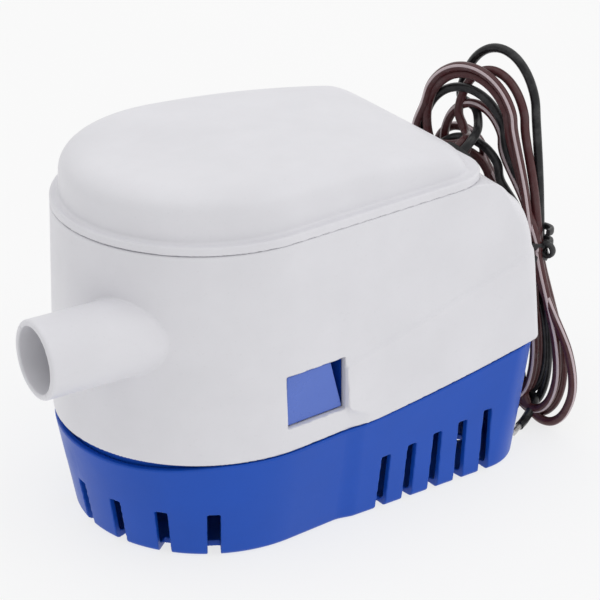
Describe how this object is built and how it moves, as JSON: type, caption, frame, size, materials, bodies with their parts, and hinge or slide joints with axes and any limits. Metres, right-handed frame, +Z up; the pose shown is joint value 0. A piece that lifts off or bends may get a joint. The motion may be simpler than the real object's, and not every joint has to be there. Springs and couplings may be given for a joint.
{
  "type": "bilge pump",
  "caption": "Submersible bilge pump: white housing with side hose spigot, clipped cap, blue slotted strainer base, float switch and wire hank.",
  "frame": {"origin": "centre of the pump's box, without its wires, on the surface that it stands on", "axes": "+X runs back from the hose spigot to the wire end, +Z is up, and +Y completes a right-handed frame, so the spigot is on the -Y side of the motor's axis"},
  "size_m": [0.234, 0.116, 0.1586],
  "materials": {
    "housing_white": "satin moulded ABS",
    "strainer_blue": "satin moulded ABS",
    "tab_blue": "satin moulded ABS",
    "pump_plastic": "moulded plastic",
    "float_plastic": "moulded plastic",
    "black_plastic": "moulded plastic",
    "black_rubber": "moulded rubber",
    "stainless": "plain stainless steel",
    "zinc_steel": "zinc plated drawn steel",
    "lamination_steel": "stamped laminations",
    "ferrite": "ground ferrite",
    "carbon": "pressed carbon",
    "sintered_bronze": "oiled sintered bronze",
    "copper": "enamelled or plain copper",
    "terminal_brass": "stamped brass",
    "circuit_board": "solder masked laminate",
    "reed_glass": "clear glass capsule",
    "wire_black": "glossy PVC",
    "wire_brown": "glossy PVC",
    "wire_striped": "glossy PVC with a pale stripe",
    "tinned_copper": "tinned strands",
    "tie_black": "plastic coated wire"
  },
  "bodies": {
    "root": {"main_housing": "housing_white", "top_cap": "housing_white", "cap_gasket": "black_rubber", "strainer_base": "strainer_blue", "volute_floor": "pump_plastic", "shaft_seal": "black_rubber", "motor_can": "zinc_steel", "motor_end_bell": "black_plastic", "field_magnet_left": "ferrite", "field_magnet_right": "ferrite", "lower_bearing": "sintered_bronze", "upper_bearing": "sintered_bronze", "brush_left": "carbon", "brush_right": "carbon", "brush_arm_left": "copper", "brush_arm_right": "copper", "motor_terminal_left": "terminal_brass", "motor_terminal_right": "terminal_brass", "float_pivot_pin": "stainless", "switch_board": "circuit_board", "switch_relay": "black_plastic", "reed_switch": "reed_glass", "wire_grommet": "black_rubber", "inner_lead_black": "wire_black", "inner_lead_brown": "wire_brown", "inner_lead_striped": "wire_striped", "wire_lead_black": "wire_black", "wire_tail_black": "wire_black", "wire_tip_black": "tinned_copper", "wire_lead_brown": "wire_brown", "wire_tail_brown": "wire_brown", "wire_tip_brown": "tinned_copper", "wire_lead_striped": "wire_striped", "wire_tail_striped": "wire_striped", "wire_tip_striped": "tinned_copper", "wire_hank": "wire_brown", "wire_tie": "tie_black", "volute_screw_1": "stainless", "volute_screw_2": "stainless", "volute_screw_3": "stainless", "volute_screw_4": "stainless"},
    "rotor": {"motor_shaft": "stainless", "armature_core": "lamination_steel", "armature_winding": "copper", "commutator": "copper", "impeller": "pump_plastic", "impeller_nut": "stainless"},
    "float_arm": {"float": "float_plastic", "float_magnet": "ferrite"},
    "latch_near": {"latch_tab_near": "tab_blue"},
    "latch_far": {"latch_tab_far": "tab_blue"}
  },
  "joints": [
    {"name": "rotor_spin", "type": "hinge", "parent": "root", "child": "rotor", "pos_m": [-0.02095, 0, 0.08], "axis": [0, 0, 1], "continuous": true},
    {"name": "float_swing", "type": "hinge", "parent": "root", "child": "float_arm", "pos_m": [0.03505, 0, 0.06], "axis": [0, -1, 0], "range_deg": [0, 25]},
    {"name": "latch_press_near", "type": "hinge", "parent": "root", "child": "latch_near", "pos_m": [-0.01006, -0.0514, 0.0471], "axis": [-0.9956, -0.0941, 0], "range_deg": [0, 8], "stiffness_Nm_per_rad": 0.6},
    {"name": "latch_press_far", "type": "hinge", "parent": "root", "child": "latch_far", "pos_m": [-0.01006, 0.0514, 0.0471], "axis": [0.9956, -0.0941, 0], "range_deg": [0, 8], "stiffness_Nm_per_rad": 0.6}
  ]
}
